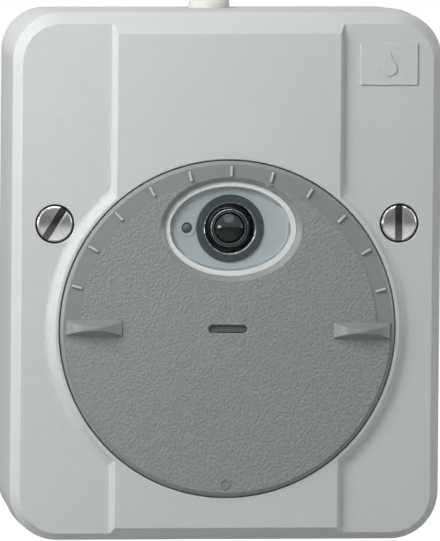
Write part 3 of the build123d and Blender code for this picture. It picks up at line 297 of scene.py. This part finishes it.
def moulded_rubber(name, colour, rough=0.6, milky=0.0):
    """Moulded elastomer: soft sheen, slight dusting, milky depth where it is pale."""
    material, tree, output = blank_material(name)
    dust = grain_noise(tree, object_coordinates(tree), 1.5 * MM, detail=4.0)
    principled(
        tree,
        output,
        {
            "IOR": 1.45,
            "Subsurface Weight": milky,
            "Subsurface Scale": 1.5 * MM,
            "Subsurface Radius": (1.0, 0.95, 0.85),
        },
        {
            "Base Color": shaded(tree, colour, dust, 0.95, 1.03),
            "Roughness": span(tree, dust, rough - 0.08, rough + 0.08),
            "Normal": relief(tree, 0.01 * MM, dust),
        },
    )
    return material


def turned_metal(name, colour, centres, front, groove=0.12, rough=0.22, dished=0.03):
    """Turned and plated metal: fine rings on a slightly dished face, and a slot darkened by painted shade.
    """
    material, tree, output = blank_material(name)
    slot_start, slot_floor, slot_shade_tone = 0.35 * MM, 0.6 * MM, 0.16
    nearest = None
    for centre in centres:
        reach, parts = reach_and_parts(tree, object_coordinates(tree, centre))
        nearest = reach if nearest is None else combined(tree, "MINIMUM", nearest, reach)
    rings = add_node(
        tree,
        "ShaderNodeTexNoise",
        {"Scale": 1 / (groove * MM), "Detail": 2.0},
        {"W": nearest},
        noise_dimensions="1D",
    ).outputs["Fac"]
    stain = grain_noise(tree, object_coordinates(tree), 1.2 * MM, detail=4.0)
    # The centres lie in the wall plane, so Y is the place's own
    # Painted shade: the colour darkens from the face towards the floor of the slot
    slot_shade = span(tree, parts["Y"], 0, 1, front + slot_start, front + slot_floor)
    dish = add_node(tree, "ShaderNodeMath", {1: 2.0}, {0: nearest}, operation="POWER").outputs["Value"]
    paint = add_node(
        tree,
        "ShaderNodeVectorMath",
        links={0: shaded(tree, colour, stain, 0.92, 1.04), 1: span(tree, slot_shade, 1, slot_shade_tone)},
        operation="MULTIPLY",
    ).outputs["Vector"]
    principled(
        tree,
        output,
        {"Metallic": 1.0},
        {
            "Base Color": paint,
            "Roughness": span(tree, rings, rough - 0.06, rough + 0.08),
            "Normal": relief(tree, dished / MM, dish, Normal=relief(tree, 0.004 * MM, rings)),
        },
    )
    return material


def plated_metal(name, colour, rough=0.32):
    """Stamped and plated metal: a cloudy plating with a soft shine."""
    material, tree, output = blank_material(name)
    cloud = grain_noise(tree, object_coordinates(tree), 0.8 * MM, detail=4.0)
    principled(
        tree,
        output,
        {"Metallic": 1.0},
        {
            "Base Color": shaded(tree, colour, cloud, 0.88, 1.05),
            "Roughness": span(tree, cloud, rough - 0.08, rough + 0.1),
        },
    )
    return material


def polished_plastic(name, colour, rough=0.14):
    """Moulded plastic from a polished tool: even and glossy, with a little orange peel."""
    material, tree, output = blank_material(name)
    peel = grain_noise(tree, object_coordinates(tree), 0.6 * MM)
    principled(
        tree,
        output,
        {"IOR": 1.5},
        {
            "Base Color": shaded(tree, colour, peel, 0.94, 1.06),
            "Roughness": span(tree, peel, rough - 0.03, rough + 0.04),
            "Normal": relief(tree, 0.003 * MM, peel),
        },
    )
    return material


def rimmed(name, colour, centre, edge, width, rough, ior, peel_depth):
    """Round moulding in smooth plastic or glass with a bright ring at its edge: polished, and painted pale
    and metallic as a painted highlight.
    """
    material, tree, output = blank_material(name)
    place = object_coordinates(tree, centre)
    bright = near(tree, reach_and_parts(tree, place)[0], edge, width / 2)
    peel = grain_noise(tree, place, 0.6 * MM)
    ring_highlight_colour, ring_highlight_rough = linear("d6d8da"), 0.12
    tone = add_node(
        tree,
        "ShaderNodeVectorMath",
        {1: [ring_highlight_colour[i] - colour[i] for i in range(3)], 2: colour[:3]},
        {0: bright},
        operation="MULTIPLY_ADD",
    ).outputs["Vector"]
    principled(
        tree,
        output,
        {"IOR": ior},
        {
            "Base Color": tone,
            "Metallic": bright,
            "Roughness": span(tree, bright, rough, ring_highlight_rough),
            "Normal": relief(tree, peel_depth * MM, peel),
        },
    )
    return material


def clear_pane(name):
    """Clear acrylic sheet: seen straight through from the front, with a wavy gloss from the side."""
    material, tree, output = blank_material(name)
    wave = grain_noise(tree, object_coordinates(tree), 4 * MM)
    through = add_node(tree, "ShaderNodeBsdfTransparent", {"Color": linear("f6f8f8")})
    gloss = add_node(
        tree, "ShaderNodeBsdfGlossy", {"Roughness": 0.04}, {"Normal": relief(tree, 0.01 * MM, wave)}
    )
    facing = add_node(tree, "ShaderNodeLayerWeight", {"Blend": 0.5}).outputs["Facing"]
    surface = add_node(
        tree,
        "ShaderNodeMixShader",
        links={0: span(tree, facing, 0, 0.25, 0.1, 1), 1: through.outputs["BSDF"], 2: gloss.outputs["BSDF"]},
    )
    tree.links.new(surface.outputs["Shader"], output.inputs["Surface"])
    return material


def circuit_board(name, colour):
    """Glass-fibre board under green lacquer: a faint weave, and tracks a shade darker or lighter."""
    material, tree, output = blank_material(name)
    place = object_coordinates(tree)
    upright = add_node(
        tree, "ShaderNodeMapping", {"Rotation": (radians(90), 0, 0)}, {"Vector": place}
    ).outputs["Vector"]
    tracks = add_node(
        tree,
        "ShaderNodeTexBrick",
        {
            "Color1": linear("2c6240"),
            "Color2": linear("347349"),
            "Mortar": colour,
            "Scale": 1 / (6 * MM),
            "Mortar Size": 0.06,
            "Brick Width": 1.7,
            "Row Height": 0.4,
        },
        {"Vector": upright},
    ).outputs["Color"]
    weave = grain_noise(tree, place, 0.4 * MM)
    principled(
        tree,
        output,
        {"IOR": 1.55},
        {
            "Base Color": tracks,
            "Roughness": span(tree, weave, 0.28, 0.4),
            "Normal": relief(tree, 0.01 * MM, weave),
        },
    )
    return material


def dress(material, *names):
    """Give CAD nodes this material in all their slots."""
    for name in names:
        mesh = nodes[name].data
        mesh.materials.clear()
        mesh.materials.append(material)


def smoothed(body, slot, *names):
    """Show CAD nodes as smooth copies: triangles joined, round faces shaded round, flat ones kept flat."""
    weld_distance, flat_angle, sharp_angle = 0.0005 * MM, radians(0.3), radians(34)
    for name in names:
        bpy.ops.object.select_all(action="DESELECT")
        nodes[name].select_set(True)
        bpy.context.view_layer.objects.active = nodes[name]
        bpy.ops.object.duplicate()
        piece = bpy.context.object
        piece.name = f"{name}_shown"
        bpy.ops.object.mode_set(mode="EDIT")
        bpy.ops.mesh.select_all(action="SELECT")
        bpy.ops.mesh.remove_doubles(threshold=weld_distance)
        bpy.ops.mesh.dissolve_limited(angle_limit=flat_angle)
        bpy.ops.object.mode_set(mode="OBJECT")
        bpy.ops.object.shade_smooth()
        bpy.ops.object.mode_set(mode="EDIT")
        bpy.ops.mesh.select_mode(type="EDGE")
        bpy.ops.mesh.select_all(action="DESELECT")
        bpy.ops.mesh.edges_select_sharp(sharpness=sharp_angle)
        bpy.ops.mesh.mark_sharp()
        bpy.ops.mesh.select_mode(type="VERT")
        bpy.ops.object.mode_set(mode="OBJECT")
        bpy.ops.object.modifier_add(type="WEIGHTED_NORMAL")
        weighted = piece.modifiers[-1]
        weighted.keep_sharp = True
        bpy.ops.object.modifier_apply(modifier=weighted.name)
        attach(piece, body)
        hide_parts(name)


class SWITCH_OT_housing(bpy.types.Operator):
    """Finish the box, its cover and the joint between them"""

    bl_idname = "switch.housing"
    bl_label = "Housing"

    def execute(self, context):
        colours, sizes = context.scene.switch_colours, context.scene.switch_sizes
        shell = moulded_plastic("light grey ABS, satin moulded", colours.housing, sizes.matt_grain)
        dress(shell, "front_cover", "base_box")
        dress(moulded_rubber("grey EPDM rubber", colours.gasket), "cover_gasket", "screw_seals")
        milky = moulded_rubber("white TPE rubber", colours.cable_seal, milky=0.3)
        dress(milky, "top_cable_seal", "bottom_cable_seal")
        smoothed("housing", "light_grey_plastic", "front_cover", "base_box")
        smoothed("housing", "white_rubber", "top_cable_seal", "bottom_cable_seal")
        return {"FINISHED"}


class SWITCH_OT_cover_screws(bpy.types.Operator):
    """Finish the two slotted screws of the cover"""

    bl_idname = "switch.cover_screws"
    bl_label = "Cover screws"

    def execute(self, context):
        low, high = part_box("cover_screws")
        radius = (high.z - low.z) / 2
        centre_z = (high.z + low.z) / 2
        centres = [(low.x + radius, 0, centre_z), (high.x - radius, 0, centre_z)]
        dress(
            turned_metal("nickel-plated steel, turned", context.scene.switch_colours.nickel, centres, low.y),
            "cover_screws",
        )
        smoothed("housing", "nickel_steel", "cover_screws")
        return {"FINISHED"}


class SWITCH_OT_dial(bpy.types.Operator):
    """Finish the dial and its spindle"""

    bl_idname = "switch.dial"
    bl_label = "Dial"

    def execute(self, context):
        colours, sizes = context.scene.switch_colours, context.scene.switch_sizes
        plastic = dial_plastic(
            "mid grey ABS, spark-eroded",
            colours.dial,
            middle("dial_disc"),
            sizes.line_radius,
            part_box("window_bezel")[1].y - sizes.face_thickness,
            sizes.erosion_grain,
            sizes.matt_grain,
        )
        dress(plastic, "dial_disc")
        # The spindle is painted darker, partly as painted shade in the drive slot
        dress(moulded_plastic("grey acetal, darkened by painted shade", colours.spindle, sizes.matt_grain, 0.5), "dial_spindle")
        dress(moulded_rubber("black nitrile rubber", colours.black), "spindle_seal")
        smoothed("dial", "grey_plastic", "dial_disc", "dial_spindle")
        return {"FINISHED"}


class SWITCH_OT_sensor(bpy.types.Operator):
    """Finish the sensor window and what lies behind it"""

    bl_idname = "switch.sensor"
    bl_label = "Sensor window"

    def execute(self, context):
        colours, sizes = context.scene.switch_colours, context.scene.switch_sizes
        dress(clear_pane("clear acrylic, polished"), "window_pane")
        dress(moulded_plastic("pale grey ABS, satin", colours.bezel, sizes.matt_grain, 0.36), "window_bezel")
        dress(
            moulded_plastic("pale grey ABS, eroded", colours.tray, sizes.erosion_grain, 0.5, 0.03),
            "sensor_tray",
        )
        dress(polished_plastic("black polycarbonate", colours.black), "photo_sensor")
        axis = middle("sensor_hood")
        # Each part gets a pale metallic ring at its edge as a painted highlight
        for node, name, colour, radius, rough, ior, peel_depth in (
            ("sensor_hood", "dark grey polycarbonate", colours.hood, sizes.hood_bore, 0.3, 1.5, 0.003),
            ("lens_barrel", "black anodised barrel", colours.black, sizes.barrel_rim, 0.25, 1.5, 0.003),
            ("sensor_lens", "dark optical glass", colours.lens, sizes.lens_edge, 0.14, 1.65, 0.0002),
        ):
            dress(rimmed(name, colour, axis, radius, sizes.ring_width, rough, ior, peel_depth), node)
        dress(polished_plastic("smoked epoxy", colours.lamp, 0.12), "indicator_led")
        smoothed("dial", "light_grey_plastic", "window_bezel")
        smoothed("dial", "tray_plastic", "sensor_tray")
        smoothed("dial", "dark_plastic", "sensor_hood")
        smoothed("dial", "black_plastic", "lens_barrel")
        smoothed("dial", "dark_glass", "sensor_lens")
        smoothed("dial", "smoked_plastic", "indicator_led")
        return {"FINISHED"}


class SWITCH_OT_inside(bpy.types.Operator):
    """Finish the parts inside the box"""

    bl_idname = "switch.inside"
    bl_label = "Inside parts"

    def execute(self, context):
        colours = context.scene.switch_colours
        dress(circuit_board("lacquered glass-fibre board", colours.board), "main_board", "sensor_board")
        dress(plated_metal("brass, turned", colours.brass), "threaded_inserts", "terminal_clamps")
        dress(
            plated_metal("zinc-plated steel", colours.zinc),
            "board_screws",
            "terminal_screws",
            "tray_screws",
            "spindle_clip",
            "potentiometer_case",
        )
        dress(plated_metal("aluminium can", linear("c8cacc")), "smoothing_capacitor")
        dress(
            polished_plastic("black epoxy", colours.black, 0.3),
            "board_fuse",
            "rectifier",
            "control_chip",
            "potentiometer_rotor",
        )
        for name, code, rough, node in (
            ("grey-green polyamide", "8f9a8e", 0.35, "terminal_block"),
            ("dark blue polyester", "2b3a52", 0.3, "relay"),
            ("yellow polypropylene", "c9a23a", 0.3, "film_capacitor"),
            ("blue disc lacquer", "2f5c9a", 0.25, "surge_absorber"),
            ("beige resistor lacquer", "c8b48c", 0.3, "resistors"),
        ):
            dress(polished_plastic(name, linear(code), rough), node)
        return {"FINISHED"}


class SWITCH_OT_stage(bpy.types.Operator):
    """Set up the floor, the world, the lamps and the camera"""

    bl_idname = "switch.stage"
    bl_label = "Stage"

    def execute(self, context):
        scene = context.scene
        scene.view_settings.view_transform = "Standard"
        self.floor(scene.switch_sizes.floor_gap)
        self.world(scene)
        self.lamps(scene)
        self.camera(scene)
        return {"FINISHED"}

    def floor(self, gap):
        """A pale floor that shows white where no shadow falls."""
        floor_size, glow_strength = 6, 0.9
        lowest = cad_bounds[0].z
        bpy.ops.mesh.primitive_plane_add(size=floor_size, location=(0, 0, lowest - gap))
        floor = bpy.context.object
        floor.name = "studio_floor"
        bpy.ops.object.transform_apply(location=True)
        material, tree, output = blank_material("white studio floor")
        rays = add_node(tree, "ShaderNodeLightPath").outputs
        seen = combined(tree, "MAXIMUM", rays["Is Camera Ray"], rays["Is Transmission Ray"])
        paint = add_node(tree, "ShaderNodeBsdfDiffuse", {"Color": linear("c8caca")})
        glow = add_node(
            tree,
            "ShaderNodeEmission",
            {"Color": (1, 1, 1, 1)},
            {"Strength": span(tree, seen, 0, glow_strength)},
        )
        both = add_node(
            tree,
            "ShaderNodeAddShader",
            links={0: paint.outputs["BSDF"], 1: glow.outputs["Emission"]},
        )
        tree.links.new(both.outputs["Shader"], output.inputs["Surface"])
        floor.data.materials.append(material)

    def world(self, scene):
        """White to the eye and in reflections, dimmer as light."""
        as_light, as_seen = 0.18, 1.0
        world = bpy.data.worlds.new("studio")
        scene.world = world
        world.use_nodes = True
        tree = world.node_tree
        tree.nodes.clear()
        output = add_node(tree, "ShaderNodeOutputWorld")
        rays = add_node(tree, "ShaderNodeLightPath").outputs
        seen = combined(tree, "MAXIMUM", rays["Is Camera Ray"], rays["Is Glossy Ray"])
        seen = combined(tree, "MAXIMUM", seen, rays["Is Transmission Ray"])
        sky = add_node(
            tree,
            "ShaderNodeBackground",
            {"Color": (1, 1, 1, 1)},
            {"Strength": span(tree, seen, as_light, as_seen)},
        )
        tree.links.new(sky.outputs["Background"], output.inputs["Surface"])

    def lamp(self, name, place, aim, size, watts):
        """A round area lamp turned to its aim."""
        bpy.ops.object.light_add(type="AREA", location=place)
        lamp = bpy.context.object
        lamp.name = name
        lamp.data.shape = "DISK"
        lamp.data.size = size
        lamp.data.energy = watts
        lamp.rotation_mode = "QUATERNION"
        lamp.rotation_quaternion = (Vector(aim) - Vector(place)).to_track_quat("-Z", "Y")
        return lamp

    def lamps(self, scene):
        """A near key lamp at the upper left, a soft one on each side, and two that only make highlights."""
        centre = Vector((0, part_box("dial_disc")[0].y, 0))
        key_offset, key_size, key_watts = Vector((-185, -185, 210)) * MM, 0.2, 1.02
        key = self.lamp("key", centre + key_offset, centre, key_size, key_watts)
        key.visible_glossy = False
        fill_distance, fill_size, glint_distance = 1.2, 0.8, 1.0
        for name, azimuth, watts in (("right_fill", 80, 4.8), ("left_fill", -78, 4.2)):
            self.lamp(name, centre + direction(azimuth, 0) * fill_distance, centre, fill_size, watts)
        for name, azimuth, elevation, size, watts in (
            ("left_glint", -40, 2, 0.2, 1.7),
            ("top_glint", 5, 42, 0.8, 3.0),
        ):
            place = centre + direction(azimuth, elevation) * glint_distance
            self.lamp(name, place, centre, size, watts).visible_diffuse = False

    def camera(self, scene):
        """The photograph's camera: a little to the left and a little above, far away."""
        azimuth, elevation, roll, distance = -7.5, 5, radians(0.5), 4
        sensor_width, frame_height = 36, 106.75 * MM
        back = direction(azimuth, elevation)
        aim = Vector((-1.16, -28, 1.04)) * MM
        bpy.ops.object.camera_add()
        camera = bpy.context.object
        camera.data.sensor_width = sensor_width
        camera.data.lens = sensor_width * distance / frame_height
        camera.data.clip_start, camera.data.clip_end = 0.1, 20
        camera.rotation_mode = "QUATERNION"
        camera.location = aim + back * distance
        camera.rotation_quaternion = (-back).to_track_quat("-Z", "Y") @ Matrix.Rotation(
            roll, 3, "Z"
        ).to_quaternion()
        scene.camera = camera


class SWITCH_PT_panel(bpy.types.Panel):
    """The switch's colours, sizes and build steps"""

    bl_idname = "SWITCH_PT_panel"
    bl_label = "Twilight Switch"
    bl_space_type = "VIEW_3D"
    bl_region_type = "UI"
    bl_category = "Twilight Switch"

    def draw(self, context):
        layout = self.layout
        for group in (context.scene.switch_colours, context.scene.switch_sizes):
            for name in group.__annotations__:
                layout.prop(group, name)
        for operator in OPERATORS:
            layout.operator(operator.bl_idname)


OPERATORS = (
    SWITCH_OT_housing,
    SWITCH_OT_cover_screws,
    SWITCH_OT_dial,
    SWITCH_OT_sensor,
    SWITCH_OT_inside,
    SWITCH_OT_stage,
)
CLASSES = (SwitchColours, SwitchSizes, *OPERATORS, SWITCH_PT_panel)


def register():
    for kind in CLASSES:
        bpy.utils.register_class(kind)
    bpy.types.Scene.switch_colours = bpy.props.PointerProperty(type=SwitchColours)
    bpy.types.Scene.switch_sizes = bpy.props.PointerProperty(type=SwitchSizes)


def unregister():
    del bpy.types.Scene.switch_sizes
    del bpy.types.Scene.switch_colours
    for kind in reversed(CLASSES):
        bpy.utils.unregister_class(kind)


def main():
    register()
    for operator in (
        bpy.ops.switch.housing,
        bpy.ops.switch.cover_screws,
        bpy.ops.switch.dial,
        bpy.ops.switch.sensor,
        bpy.ops.switch.inside,
        bpy.ops.switch.stage,
    ):
        operator()


if __name__ == "__main__":
    main()
